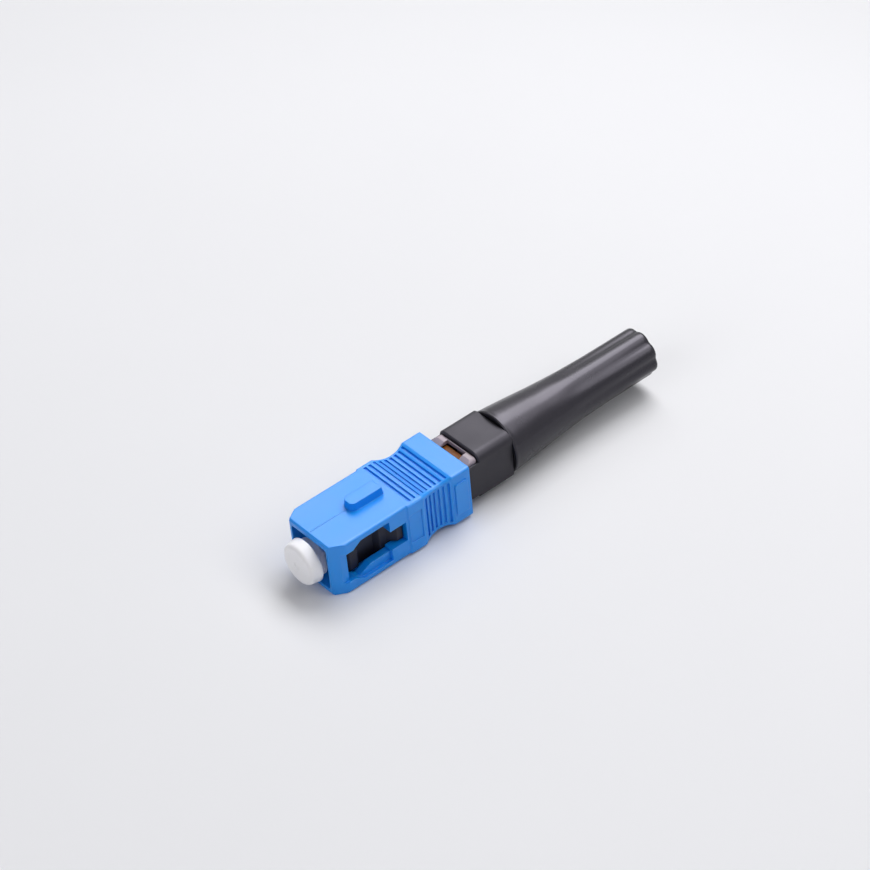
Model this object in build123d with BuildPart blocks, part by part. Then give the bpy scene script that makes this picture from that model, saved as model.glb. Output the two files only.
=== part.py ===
from build123d import *
import math
import os

# Field-installable push-pull fibre optic connector, key up, with its dust cap on.
# X runs across the plug, Y from the ferrule tip to the cable end, Z up.
# The origin lies on the fibre axis, in the plane of the grip's front face.
# Sizes are in millimetres.

# Clearances
slide_clearance = 0.10
snug_clearance = 0.05
bond_film = 0.01
part_gap = 0.10
spring_clearance = 0.08
edge_break = 0.15

# Travels of the moving pieces
ferrule_float = 0.8
grip_travel = 2.0
slider_travel = 1.2

# Fibre and ferrule
fibre_radius = 0.0625
ferrule_radius = 1.25
ferrule_bore_radius = 0.075
ferrule_length = 10.2
ferrule_tip = -0.9
ferrule_edge = 0.3
ferrule_funnel_depth = 1.2
ferrule_funnel_radius = 0.5

# Ferrule flange with its rear sleeve
flange_length = 1.0
flange_height_share = 0.54
flange_edge = 0.2
sleeve_length = 3.0

# Ferrule spring
spring_wire_share = 0.308
spring_pitch = 0.76
spring_steps_per_turn = 10
spring_wire_sides = 6
spring_end_gap = 0.06

# Clamp base and covers
spigot_radius = 1.0
neck_gap = 0.5
clamp_half_width = 1.7
clamp_wall_length = 0.6
clamp_bore_radius = 0.095
vee_half_width = 0.12
vee_depth = 0.16
buffer_vee_half_width = 0.36
buffer_vee_depth = 0.48
front_cover_length = 2.9
front_cover_height = 1.2
rear_cover_length = 3.8
rear_cover_below_slider = 0.6
rear_cover_round = 0.25
cover_recess = 0.2
lead_in = 0.35

# Steel clip round the front cover
clip_thickness = 0.2
clip_margin = 0.3
clip_slit_half = 0.5

# Dust cap
head_front = -2.05
head_rear = -0.4
head_clearance = 0.14
head_draft = 0.16
head_round = 0.55
head_back_chamfer = 0.12
collar_step = 0.46
collar_rear = 0.5
cap_tube_height_share = 0.5
cap_tube_rear = 4.4
cap_grip_clearance = 0.03
cap_blind_gap = 0.25
gate_dimple_radius = 0.45
gate_dimple_depth = 0.12

# Grip outline
grip_length = 20.3
grip_half_width = 4.5
grip_half_height = 3.7
nose_chamfer_across = 1.07
nose_chamfer_along = 1.8
band_start_share = 0.53
band_end_share = 0.645
band_rise = 0.18
waist_end_share = 0.872
waist_depth = 0.42
nose_edge_break = 0.2
long_edge_round = 0.3

# Grip cavity
cavity_half_width = 3.1
nose_height_share = 0.81
nose_cavity_overrun = 0.8
cavity_corner = 0.4
slider_headroom = 0.15

# Grip side windows, the same on both sides
window_front = 2.05
window_front_below_top = 1.55
window_widen_start = 2.8
window_widen_end = 4.0
window_below_top = 0.75
window_end_share = 0.404
post_recess = 0.38
post_recess_widen = 1.0
post_recess_full = 1.5
cam_recess = 0.45
cam_start = 3.6
cam_end = 5.2
cam_low_below_top = 1.15
cam_high_below_top = 1.95
slot_below_top = 2.3
slot_end_share = 0.52

# Grip key, grooves, panels and pads
key_start = 5.75
key_band_gap = 0.35
key_height = 1.0
key_half_width = 1.0
key_draft = 8
key_nose_round = 0.75
groove_front_margin = 0.95
groove_rear_margin = 0.5
groove_count = 9
groove_width = 0.34
groove_depth = 0.2
groove_end_margin = 0.42
side_groove_margin = 0.55
panel_half_height = 2.1
panel_front_margin = 0.2
panel_rear_margin = 0.25
panel_depth = 0.14
pad_front_margin = 0.25
pad_rear_margin = 0.5
pad_half_height = 2.3
pad_corner = 0.2
pad_rise = 0.18
mould_line_start = 0.4
mould_line_width = 0.12
mould_line_rise = 0.04

# Plug frame
frame_front = 2.2
frame_height_share = 0.69
frame_recess = 2.8
frame_nose_chamfer = 0.4
frame_side_wall = 0.5
frame_roof = 0.4
nose_ramp = 1.0
nose_ramp_drop = 0.7
latch_offset = 2.1
latch_length = 3.3
latch_depth = 0.65
latch_ramp = 0.5
lug_side_gap = 0.25
lug_length = 1.7
lug_ramp = 0.9
lug_stop_gap = 0.25
lug_rise = 0.9
tube_clearance = 0.2
web_thickness = 1.15
socket_depth = 4.3
socket_corner = 0.2
snap_offset = 1.8
snap_length = 1.5
snap_half_height = 0.7
snap_rise = 0.4

# Locking slider
slider_floor = 0.28
slider_running_gap = 0.07
slider_height_share = 0.784
slider_ramp_offset = 2.0
slider_ramp_length = 0.8
window_slider_half = 1.65
window_slider_offset = 0.8
slider_rim = 0.14
slider_edge_round = 0.5

# Rear body
channel_wall_drop = 0.2
channel_floor_wall = 0.3
seat_wall = 0.7
body_length = 5.2
body_half_width = 3.55
body_step = 0.3
body_edge_round = 1.1
cheek_thickness = 0.29
cheek_overlap = 0.7
stub_wall = 0.55
stub_length = 5.8
stub_end_chamfer = 0.3
thread_height = 0.25
thread_clearance = 0.07
shoulder_relief = 0.5
pocket_headroom = 0.2
body_overlap = 1.0

# Fibre guide
guide_radius = 1.55
guide_length = 4.1
guide_mouth_radius = 1.2
guide_throat_radius = 0.35
guide_throat_length = 0.8

# Cable collet
guide_collet_gap = 1.3
collet_end_gap = 0.4
collet_radius = 2.4
collet_length = 9.5
collet_taper_length = 3.5
collet_taper_drop = 0.3
cable_half_width = 1.6
cable_half_height = 1.05
collet_slit = 0.4
collet_ring_length = 2.0
tooth_count = 6
tooth_height = 0.18
tooth_pitch = 0.9
tooth_half_width = 0.5
tooth_root = 0.06
key_rib_half_width = 0.35
key_rib_rise = 0.22

# Tail cap
cap_length = 24.05
cap_front_radius = 4.2
cap_end_radius = 3.2
cap_waist = ((4.0, 3.9), (8.1, 3.52), (12.2, 3.3), (16.2, 3.2))
cap_front_break = 0.2
cap_end_chamfer = 0.3
cap_thread_margin = 0.4
cone_clearance = 0.10
exit_clearance = 0.3
exit_flare = 0.35
flute_count = 8
flute_first_angle = 34.0
flute_radius = 0.75
flute_depth = 0.28
flute_offset = 10.4
flute_start_depth = 0.02
flute_overrun = 0.5


def across(y):
    """Plane square to the fibre axis at y, facing the cable end, local y up."""
    return Plane(origin=(0, y, 0), x_dir=(-1, 0, 0), z_dir=(0, 1, 0))


def from_side(x):
    """Plane square to X at x, local x along the fibre axis, local y up."""
    return Plane(origin=(x, 0, 0), x_dir=(0, 1, 0), z_dir=(1, 0, 0))


def finish(piece, name):
    """Label a finished piece and write it out."""
    piece.part.label = name
    export_step(piece.part, f"parts/{name}.step")


os.makedirs("parts", exist_ok=True)

# Places along the grip, shared out over its length
band_start = band_start_share * grip_length
band_end = band_end_share * grip_length
waist_end = waist_end_share * grip_length
window_end = window_end_share * grip_length
slot_end = slot_end_share * grip_length
nose_cavity_depth = window_end + nose_cavity_overrun
key_end = band_start - key_band_gap
groove_first = band_start + groove_front_margin
groove_last = waist_end - groove_rear_margin
pad_start = waist_end + pad_front_margin
pad_end = grip_length - pad_rear_margin
frame_end = grip_length - frame_recess

# Places along the axis, each from its neighbour
ferrule_rear = ferrule_tip + ferrule_length
web_front = cap_tube_rear + ferrule_float + part_gap
flange_front = web_front + web_thickness + snug_clearance
flange_rear = flange_front + flange_length
sleeve_rear = flange_rear + sleeve_length
seat_front = frame_end - socket_depth
seat_rear = seat_front + bond_film + seat_wall
neck_end = seat_rear + neck_gap
front_cover_start = neck_end + clamp_wall_length + part_gap
rear_cover_start = front_cover_start + front_cover_length + 2 * part_gap
rear_cover_end = rear_cover_start + rear_cover_length
clamp_end = rear_cover_end + cover_recess
slider_front = frame_end + slider_travel + 2 * part_gap
body_front = grip_length + grip_travel + 2 * part_gap
slider_rear = body_front - part_gap
slider_ramp_start = slider_front + slider_ramp_offset
window_slider_start = slider_front + window_slider_offset
wide_pocket_start = slider_front - slider_travel - grip_travel - part_gap
tall_pocket_start = slider_ramp_start - slider_travel - grip_travel
cheek_front = grip_length - cheek_overlap
cheek_pocket_start = cheek_front - grip_travel - part_gap
body_end = body_front + body_length
guide_front = clamp_end + ferrule_float + 2 * part_gap
guide_end = guide_front + guide_length
collet_bore_start = guide_end + guide_collet_gap
stub_end = body_end + stub_length
collet_front = collet_bore_start + collet_end_gap
collet_end = collet_front + collet_length
collet_taper_start = collet_end - collet_taper_length
cap_front = body_end + snug_clearance
cap_end = cap_front + cap_length
cap_thread_end = stub_end + cap_thread_margin
latch_front = frame_front + latch_offset
latch_end = latch_front + latch_length
snap_start = seat_front + snap_offset

# Levels, shared out over the grip's half height or measured down from its top
nose_half_height = nose_height_share * grip_half_height
frame_half_height = frame_height_share * grip_half_height
flange_radius = flange_height_share * grip_half_height
sleeve_radius = (ferrule_radius + flange_radius) / 2
cap_tube_radius = cap_tube_height_share * grip_half_height
head_radius_rear = min(nose_half_height, cavity_half_width) - head_clearance
head_radius_front = head_radius_rear - head_draft
collar_radius = head_radius_rear - collar_step
window_front_half = grip_half_height - window_front_below_top
window_half = grip_half_height - window_below_top
cam_low = grip_half_height - cam_low_below_top
cam_high = grip_half_height - cam_high_below_top
slot_half = grip_half_height - slot_below_top
slider_top = slider_height_share * grip_half_height
rear_cover_height = slider_top - rear_cover_below_slider
body_half_height = grip_half_height - body_step

# Mating sections, each from its partner
frame_half_width = cavity_half_width - slide_clearance
lug_half_height = slot_half - lug_side_gap
bore_radius = flange_radius + spring_clearance
cap_bore_radius = ferrule_radius + cap_grip_clearance
frame_tube_bore = cap_tube_radius + tube_clearance
socket_half_width = frame_half_width - frame_side_wall
socket_half_height = frame_half_height - frame_roof
tongue_half_width = socket_half_width - snug_clearance
tongue_half_height = socket_half_height - snug_clearance
channel_half_width = clamp_half_width + clip_thickness + slide_clearance
channel_floor = tongue_half_height - channel_floor_wall
clamp_depth = channel_floor - clip_thickness - slide_clearance
channel_wall_top = tongue_half_height - channel_wall_drop
slider_inner_half_width = tongue_half_width + slide_clearance
slider_half_width = body_half_width - cheek_thickness - snug_clearance
slider_inner_floor = tongue_half_height + slider_running_gap
slider_half_height = slider_inner_floor + slider_floor
slider_roof = rear_cover_height + slider_running_gap
slider_pocket_half_width = slider_half_width + slide_clearance
slider_pocket_half_height = slider_top + slider_headroom
collet_bore_radius = collet_radius + snug_clearance
stub_radius = collet_bore_radius + stub_wall
cap_thread_radius = stub_radius + thread_height + thread_clearance
exit_bore_radius = cable_half_width + exit_clearance


# Dust cap: one translucent moulding, head, collar and a tube over the ferrule
with BuildPart() as dust_cap:
    with BuildSketch(Plane.XY):
        with BuildLine():
            Polyline(
                (0, head_front),
                (head_radius_front, head_front),
                (head_radius_rear, head_rear),
                (collar_radius, head_rear),
                (collar_radius, collar_rear),
                (cap_tube_radius, collar_rear),
                (cap_tube_radius, cap_tube_rear),
                (cap_bore_radius, cap_tube_rear),
                (cap_bore_radius, ferrule_tip - cap_blind_gap),
                (0, ferrule_tip - cap_blind_gap),
                close=True,
            )
        make_face()
    revolve(axis=Axis.Y)
    front_rim = dust_cap.edges().filter_by(GeomType.CIRCLE).group_by(Axis.Y)[0]
    fillet(front_rim, head_round)
    back_rim = dust_cap.edges().filter_by(GeomType.CIRCLE).filter_by(
        lambda e: abs(e.radius - head_radius_rear) < 0.001
    )
    chamfer(back_rim, head_back_chamfer)
    with BuildSketch(across(head_front)):
        Circle(gate_dimple_radius)
    extrude(amount=gate_dimple_depth, mode=Mode.SUBTRACT)
finish(dust_cap, "dust_cap")

# Grip sleeve: plan outline crossed with side outline, both waisted behind the band
waist_middle = (band_end + waist_end) / 2
with BuildPart() as grip_sleeve:
    with BuildSketch(Plane.XY.offset(-grip_half_height)):
        with BuildLine():
            Polyline(
                (0, 0),
                (grip_half_width - nose_chamfer_across, 0),
                (grip_half_width, nose_chamfer_along),
                (grip_half_width, band_start),
                (grip_half_width + band_rise, band_start + band_rise),
                (grip_half_width + band_rise, band_end),
            )
            ThreePointArc(
                (grip_half_width + band_rise, band_end),
                (grip_half_width - waist_depth, waist_middle),
                (grip_half_width, waist_end),
            )
            Polyline(
                (grip_half_width, waist_end),
                (grip_half_width, grip_length),
                (0, grip_length),
                (0, 0),
            )
        make_face()
        mirror(about=Plane.YZ)
    extrude(amount=2 * grip_half_height)
    with BuildSketch(from_side(-grip_half_width - band_rise)):
        with BuildLine():
            Polyline(
                (0, 0),
                (0, grip_half_height - nose_edge_break),
                (nose_edge_break, grip_half_height),
                (band_end, grip_half_height),
            )
            ThreePointArc(
                (band_end, grip_half_height),
                (waist_middle, grip_half_height - waist_depth),
                (waist_end, grip_half_height),
            )
            Polyline(
                (waist_end, grip_half_height),
                (grip_length, grip_half_height),
                (grip_length, 0),
                (0, 0),
            )
        make_face()
        mirror(about=Plane.XZ)
    extrude(amount=2 * (grip_half_width + band_rise), mode=Mode.INTERSECT)

    # Long edges: rounded along the nose and the rear land
    for start, end in ((0, band_start), (waist_end, grip_length)):
        with BuildSketch(across(start)):
            Rectangle(3 * grip_half_width, 3 * grip_half_height)
            RectangleRounded(2 * grip_half_width, 2 * grip_half_height, long_edge_round,
                             mode=Mode.SUBTRACT)
        extrude(amount=end - start, mode=Mode.SUBTRACT)
    # Long edges: chamfered by as much along the band and the waist, where they bend two ways
    land_diagonal, band_diagonal, waist_diagonal = (
        (half_width + half_height) / math.sqrt(2) - long_edge_round * (math.sqrt(2) - 1)
        for half_width, half_height in (
            (grip_half_width, grip_half_height),
            (grip_half_width + band_rise, grip_half_height),
            (grip_half_width - waist_depth, grip_half_height - waist_depth),
        )
    )
    for side in (-1, 1):
        for up in (-1, 1):
            with BuildSketch(Plane(origin=(0, 0, 0), x_dir=(0, 1, 0), z_dir=(side, 0, -up))):
                outward = side * up
                with BuildLine():
                    Polyline(
                        (waist_end, outward * land_diagonal),
                        (waist_end, outward * (band_diagonal + long_edge_round)),
                        (band_start, outward * (band_diagonal + long_edge_round)),
                        (band_start, outward * land_diagonal),
                        (band_start + band_rise, outward * band_diagonal),
                        (band_end, outward * band_diagonal),
                    )
                    ThreePointArc(
                        (band_end, outward * band_diagonal),
                        (waist_middle, outward * waist_diagonal),
                        (waist_end, outward * land_diagonal),
                    )
                make_face()
            extrude(amount=grip_half_height, both=True, mode=Mode.SUBTRACT)

    # Raised side pads, bare
    for side in (-1, 1):
        with BuildSketch(from_side(side * (grip_half_width - pad_rise))):
            with Locations(((pad_start + pad_end) / 2, 0)):
                RectangleRounded(pad_end - pad_start, 2 * pad_half_height, pad_corner)
        extrude(amount=side * 2 * pad_rise)

    # Key on the top, rounded at the front and square behind
    with BuildSketch(Plane.XY.offset(grip_half_height)) as key_plan:
        with Locations((0, (key_start + key_end) / 2)):
            Rectangle(2 * key_half_width, key_end - key_start)
        fillet(key_plan.vertices().group_by(Axis.Y)[0], key_nose_round)
    extrude(amount=key_height, taper=key_draft)

    # Thin mould line along the top, in front of the key
    with BuildSketch(Plane.XY.offset(grip_half_height)):
        with Locations((0, (mould_line_start + key_start) / 2)):
            Rectangle(mould_line_width, key_start - mould_line_start)
    extrude(amount=mould_line_rise)

    # Cavity: the nose, the bore over the plug frame, the pockets over the slider, its ramp
    # and the rear body's cheeks
    frame_bore_half_height = frame_half_height + slide_clearance
    for start, end, half_width, half_height in (
        (0, nose_cavity_depth, cavity_half_width, nose_half_height),
        (0, grip_length, cavity_half_width, frame_bore_half_height),
        (wide_pocket_start, grip_length, slider_pocket_half_width, frame_bore_half_height),
        (tall_pocket_start, grip_length, slider_pocket_half_width, slider_pocket_half_height),
        (cheek_pocket_start, grip_length, body_half_width + slide_clearance, frame_bore_half_height),
    ):
        with BuildSketch(across(start)):
            RectangleRounded(2 * half_width, 2 * half_height, cavity_corner)
        extrude(amount=end - start, mode=Mode.SUBTRACT)

    for side in (-1, 1):
        # Recess of the front post and of the wide window, from the outer face
        for depth, half_front, half_rear, start, widen_start, widen_end, end in (
            (post_recess, window_front_half, window_front_half,
             0, post_recess_widen, post_recess_full, window_front),
            (cam_recess, window_front_half, window_half,
             window_front, window_widen_start, window_widen_end, window_end),
        ):
            with BuildSketch(from_side(side * (grip_half_width - depth))):
                with BuildLine():
                    Polyline(
                        (start, half_front),
                        (widen_start, half_front),
                        (widen_end, half_rear),
                        (end, half_rear),
                        (end, -half_rear),
                        (widen_end, -half_rear),
                        (widen_start, -half_front),
                        (start, -half_front),
                        close=True,
                    )
                make_face()
            extrude(amount=side * 2 * depth, mode=Mode.SUBTRACT)
        # Window through the wall: the cam that lifts the adapter's latches is its lower edge
        with BuildSketch(from_side(side * (cavity_half_width - part_gap))):
            with BuildLine():
                Polyline(
                    (window_front, window_front_half),
                    (window_widen_start, window_front_half),
                    (cam_start, cam_low),
                    (window_end, cam_low),
                    (window_end, slot_half),
                    (slot_end, slot_half),
                    (slot_end, -slot_half),
                    (window_end, -slot_half),
                    (window_end, -cam_high),
                    (cam_end, -cam_high),
                    (cam_start, -cam_low),
                    (window_widen_start, -window_front_half),
                    (window_front, -window_front_half),
                    close=True,
                )
            make_face()
        extrude(amount=side * 2 * grip_half_width, mode=Mode.SUBTRACT)
        # Shallow panel in the band
        panel_front = band_start + panel_front_margin
        panel_rear = band_end - panel_rear_margin
        with BuildSketch(from_side(side * (grip_half_width + band_rise - panel_depth))):
            with Locations(((panel_front + panel_rear) / 2, 0)):
                Rectangle(panel_rear - panel_front, 2 * panel_half_height)
        extrude(amount=side * 2 * panel_depth, mode=Mode.SUBTRACT)

    # Grooves across the waist: top and bottom all of them, the sides the hollow part only
    chord_half = (waist_end - band_end) / 2
    waist_arc_radius = (chord_half**2 + waist_depth**2) / (2 * waist_depth)
    groove_pitch = (groove_last - groove_first) / (groove_count - 1)
    for index in range(groove_count):
        y = groove_first + index * groove_pitch
        inside = max(0.0, waist_arc_radius**2 - (y - waist_middle) ** 2)
        drop = max(0.0, math.sqrt(inside) - (waist_arc_radius - waist_depth))
        in_waist = y > band_end + groove_width
        floor_z = grip_half_height - (drop if in_waist else 0) - groove_depth
        wall_x = grip_half_width - drop - groove_depth
        half_length = grip_half_width - groove_end_margin - (drop if in_waist else 0)
        for up in (-1, 1):
            with BuildSketch(Plane.XY.offset(up * floor_z)):
                with Locations((0, y)):
                    Rectangle(2 * half_length, groove_width)
            extrude(amount=up * 2 * waist_depth, mode=Mode.SUBTRACT)
        if in_waist:
            for side in (-1, 1):
                with BuildSketch(from_side(side * wall_x)):
                    with Locations((y, 0)):
                        Rectangle(groove_width, 2 * (grip_half_height - drop - side_groove_margin))
                extrude(amount=side * 2 * waist_depth, mode=Mode.SUBTRACT)
finish(grip_sleeve, "grip_sleeve")

# Plug frame: the black housing inside the grip, with latch recesses and stop lugs
with BuildPart() as plug_frame:
    with BuildSketch(Plane.XY.offset(-frame_half_height)):
        lug_rear = slot_end - lug_stop_gap
        with BuildLine():
            Polyline(
                (0, frame_front),
                (frame_half_width - nose_ramp_drop, frame_front),
                (frame_half_width, frame_front + nose_ramp),
                (frame_half_width, latch_front),
                (frame_half_width - latch_depth, latch_front),
                (frame_half_width - latch_depth, latch_end - latch_ramp),
                (frame_half_width, latch_end),
                (frame_half_width, frame_end),
                (0, frame_end),
                close=True,
            )
        make_face()
        mirror(about=Plane.YZ)
    extrude(amount=2 * frame_half_height)
    long_edges = plug_frame.edges().filter_by(Axis.Y).filter_by(
        lambda e: abs(abs(e.center().X) - frame_half_width) < 0.001)
    chamfer(long_edges, cavity_corner - slide_clearance)
    chamfer(plug_frame.edges().group_by(Axis.Y)[-1].filter_by(Axis.X), edge_break)
    chamfer(plug_frame.edges().group_by(Axis.Y)[0].filter_by(Axis.X), frame_nose_chamfer)
    # Lugs that stop the grip, sloped in front so that it snaps over them
    with BuildSketch(Plane.XY.offset(-lug_half_height)):
        with BuildLine():
            Polyline(
                (0, lug_rear - lug_length),
                (frame_half_width, lug_rear - lug_length),
                (frame_half_width + lug_rise, lug_rear - lug_length + lug_ramp),
                (frame_half_width + lug_rise, lug_rear),
                (0, lug_rear),
                close=True,
            )
        make_face()
        mirror(about=Plane.YZ)
    extrude(amount=2 * lug_half_height)
    # Bores: over the dust cap's tube, past the ferrule, over flange and spring
    with BuildSketch(Plane.XY):
        with BuildLine():
            Polyline(
                (0, frame_front),
                (frame_tube_bore + edge_break, frame_front),
                (frame_tube_bore, frame_front + edge_break),
                (frame_tube_bore, web_front),
                (ferrule_radius + slide_clearance, web_front),
                (ferrule_radius + slide_clearance, flange_front - snug_clearance),
                (bore_radius, flange_front - snug_clearance),
                (bore_radius, seat_front + socket_corner),
                (0, seat_front + socket_corner),
                close=True,
            )
        make_face()
    revolve(axis=Axis.Y, mode=Mode.SUBTRACT)
    with BuildSketch(across(seat_front)):
        Rectangle(2 * socket_half_width, 2 * socket_half_height)
    extrude(amount=socket_depth, mode=Mode.SUBTRACT)
    # Windows for the rear body's snap bosses
    with BuildSketch(from_side(-frame_half_width)):
        with Locations((snap_start + snap_length / 2, 0)):
            Rectangle(snap_length + 2 * snug_clearance, 2 * (snap_half_height + snug_clearance))
    extrude(amount=2 * frame_half_width, mode=Mode.SUBTRACT)
finish(plug_frame, "plug_frame")

# Ferrule: zirconia, edge chamfered, funnel at the rear of its bore
with BuildPart() as ferrule:
    with BuildSketch(Plane.XY):
        with BuildLine():
            Polyline(
                (ferrule_bore_radius, ferrule_tip),
                (ferrule_radius - ferrule_edge, ferrule_tip),
                (ferrule_radius, ferrule_tip + ferrule_edge),
                (ferrule_radius, ferrule_rear),
                (ferrule_funnel_radius, ferrule_rear),
                (ferrule_bore_radius, ferrule_rear - ferrule_funnel_depth),
                close=True,
            )
        make_face()
    revolve(axis=Axis.Y)
finish(ferrule, "ferrule")

# Fibre stub: factory-fitted glass fibre, from the ferrule tip into the clamp
stub_fibre_end = front_cover_start + front_cover_length / 2
with BuildPart() as fibre_stub:
    with BuildSketch(across(ferrule_tip)):
        Circle(fibre_radius)
    extrude(amount=stub_fibre_end - ferrule_tip)
finish(fibre_stub, "fibre_stub")

# Ferrule flange: turned collar with a sleeve that joins ferrule and clamp base
with BuildPart() as ferrule_flange:
    with BuildSketch(Plane.XY):
        with BuildLine():
            Polyline(
                (ferrule_radius + bond_film, flange_front),
                (flange_radius - flange_edge, flange_front),
                (flange_radius, flange_front + flange_edge),
                (flange_radius, flange_rear),
                (sleeve_radius, flange_rear),
                (sleeve_radius, sleeve_rear),
                (spigot_radius + bond_film, sleeve_rear),
                (spigot_radius + bond_film, ferrule_rear + bond_film),
                (ferrule_radius + bond_film, ferrule_rear + bond_film),
                close=True,
            )
        make_face()
    revolve(axis=Axis.Y)
finish(ferrule_flange, "ferrule_flange")

# Ferrule spring: between the flange and the rear body's seat wall
spring_coil_radius = (sleeve_radius + bore_radius) / 2
spring_wire_radius = spring_wire_share * (bore_radius - sleeve_radius)
spring_start = flange_rear + spring_wire_radius + spring_end_gap
spring_length = seat_front - spring_wire_radius - spring_end_gap - spring_start
spring_steps = round(spring_length / spring_pitch * spring_steps_per_turn)
with BuildPart() as ferrule_spring:
    with BuildLine() as coil:
        Polyline(*(
            Vector(0, spring_start + spring_length * step / spring_steps, spring_coil_radius).rotate(
                Axis.Y, 360 * step / spring_steps_per_turn)
            for step in range(spring_steps + 1)
        ))
    coil_path = coil.wires()[0]
    with BuildSketch(Plane(origin=coil_path @ 0, z_dir=coil_path % 0)):
        RegularPolygon(spring_wire_radius, spring_wire_sides)
    sweep(path=coil_path, transition=Transition.RIGHT)
finish(ferrule_spring, "ferrule_spring")

# Clamp base: neck through the spring, then the V-groove bed
buffer_start = rear_cover_start + (clamp_end - rear_cover_start) / 3
with BuildPart() as clamp_base:
    with BuildSketch(Plane.XY):
        with BuildLine():
            Polyline(
                (0, ferrule_rear + 2 * bond_film),
                (spigot_radius, ferrule_rear + 2 * bond_film),
                (spigot_radius, sleeve_rear + bond_film),
                (sleeve_radius, sleeve_rear + bond_film),
                (sleeve_radius, neck_end),
                (0, neck_end),
                close=True,
            )
        make_face()
    revolve(axis=Axis.Y)
    with BuildSketch(Plane.XY):
        with Locations((0, (neck_end + clamp_end) / 2)):
            Rectangle(2 * clamp_half_width, clamp_end - neck_end)
    extrude(amount=-clamp_depth)
    with BuildSketch(Plane.XY.offset(-bond_film)):
        with Locations((0, neck_end + clamp_wall_length / 2)):
            Rectangle(2 * clamp_half_width, clamp_wall_length)
    extrude(amount=front_cover_height)
    with BuildSketch(across(ferrule_rear)):
        Circle(clamp_bore_radius)
    extrude(amount=neck_end + clamp_wall_length - ferrule_rear, mode=Mode.SUBTRACT)
    for start, half_width, depth in (
        (neck_end + clamp_wall_length, vee_half_width, vee_depth),
        (buffer_start, buffer_vee_half_width, buffer_vee_depth),
    ):
        with BuildSketch(across(start)):
            with BuildLine():
                Polyline((-half_width, 0), (0, -depth), (half_width, 0), close=True)
            make_face()
        extrude(amount=clamp_end - start, mode=Mode.SUBTRACT)
finish(clamp_base, "clamp_base")

# Clamp covers: the front one presses the bare fibre, the rear one its coating
cover_seat = fibre_radius + bond_film
with BuildPart() as clamp_cover_front:
    with BuildSketch(Plane.XY.offset(cover_seat)):
        with Locations((0, front_cover_start + front_cover_length / 2)):
            Rectangle(2 * clamp_half_width, front_cover_length)
    extrude(amount=front_cover_height - cover_seat)
    chamfer(clamp_cover_front.edges().group_by(Axis.Z)[0].group_by(Axis.Y)[-1], lead_in)
finish(clamp_cover_front, "clamp_cover_front")

with BuildPart() as clamp_cover_rear:
    with BuildSketch(Plane.XY.offset(cover_seat)):
        with Locations((0, (rear_cover_start + rear_cover_end) / 2)):
            Rectangle(2 * clamp_half_width, rear_cover_end - rear_cover_start)
    extrude(amount=rear_cover_height - cover_seat)
    chamfer(clamp_cover_rear.edges().group_by(Axis.Z)[0].group_by(Axis.Y)[-1], lead_in)
    fillet(clamp_cover_rear.edges().group_by(Axis.Z)[-1].filter_by(Axis.Y), rear_cover_round)
finish(clamp_cover_rear, "clamp_cover_rear")

# Clamp clip: bent spring steel, slit at the top
clip_length = front_cover_length - 2 * clip_margin
clip_inner_half_width = clamp_half_width + bond_film
clip_bottom = -clamp_depth - bond_film
clip_top = front_cover_height + bond_film
with BuildPart() as clamp_clip:
    with BuildSketch(across(front_cover_start + clip_margin)) as clip_section:
        with Locations((0, (clip_bottom + clip_top) / 2)):
            Rectangle(2 * (clip_inner_half_width + clip_thickness),
                      clip_top - clip_bottom + 2 * clip_thickness)
        fillet(clip_section.vertices(), clip_thickness)
        with Locations((0, (clip_bottom + clip_top) / 2)):
            Rectangle(2 * clip_inner_half_width, clip_top - clip_bottom, mode=Mode.SUBTRACT)
        with Locations((0, clip_top)):
            Rectangle(2 * clip_slit_half, 4 * clip_thickness, mode=Mode.SUBTRACT)
    extrude(amount=clip_length)
finish(clamp_clip, "clamp_clip")

# Locking slider: white ring that pinches the rear cover, with a window in its roof
with BuildPart() as locking_slider:
    with BuildSketch(across(slider_front)):
        with Locations((0, (slider_top - slider_half_height) / 2)):
            RectangleRounded(2 * slider_half_width, slider_top + slider_half_height,
                             slider_edge_round)
    extrude(amount=slider_rear - slider_front)
    with BuildSketch(from_side(-slider_half_width)):
        with BuildLine():
            Polyline(
                (slider_front, -slider_half_height),
                (slider_front, slider_half_height),
                (slider_ramp_start, slider_half_height),
                (slider_ramp_start + slider_ramp_length, slider_top),
                (slider_rear, slider_top),
                (slider_rear, -slider_half_height),
                close=True,
            )
        make_face()
    extrude(amount=2 * slider_half_width, mode=Mode.INTERSECT)
    with BuildSketch(across(slider_front)):
        with Locations((0, (slider_roof - slider_inner_floor) / 2)):
            Rectangle(2 * slider_inner_half_width, slider_roof + slider_inner_floor)
    extrude(amount=slider_rear - slider_front, mode=Mode.SUBTRACT)
    window_rear = slider_rear - slider_rim
    with BuildSketch(Plane.XY):
        with Locations((0, (window_slider_start + window_rear) / 2)):
            Rectangle(2 * window_slider_half, window_rear - window_slider_start)
    extrude(amount=slider_top, mode=Mode.SUBTRACT)
finish(locking_slider, "locking_slider")

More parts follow.
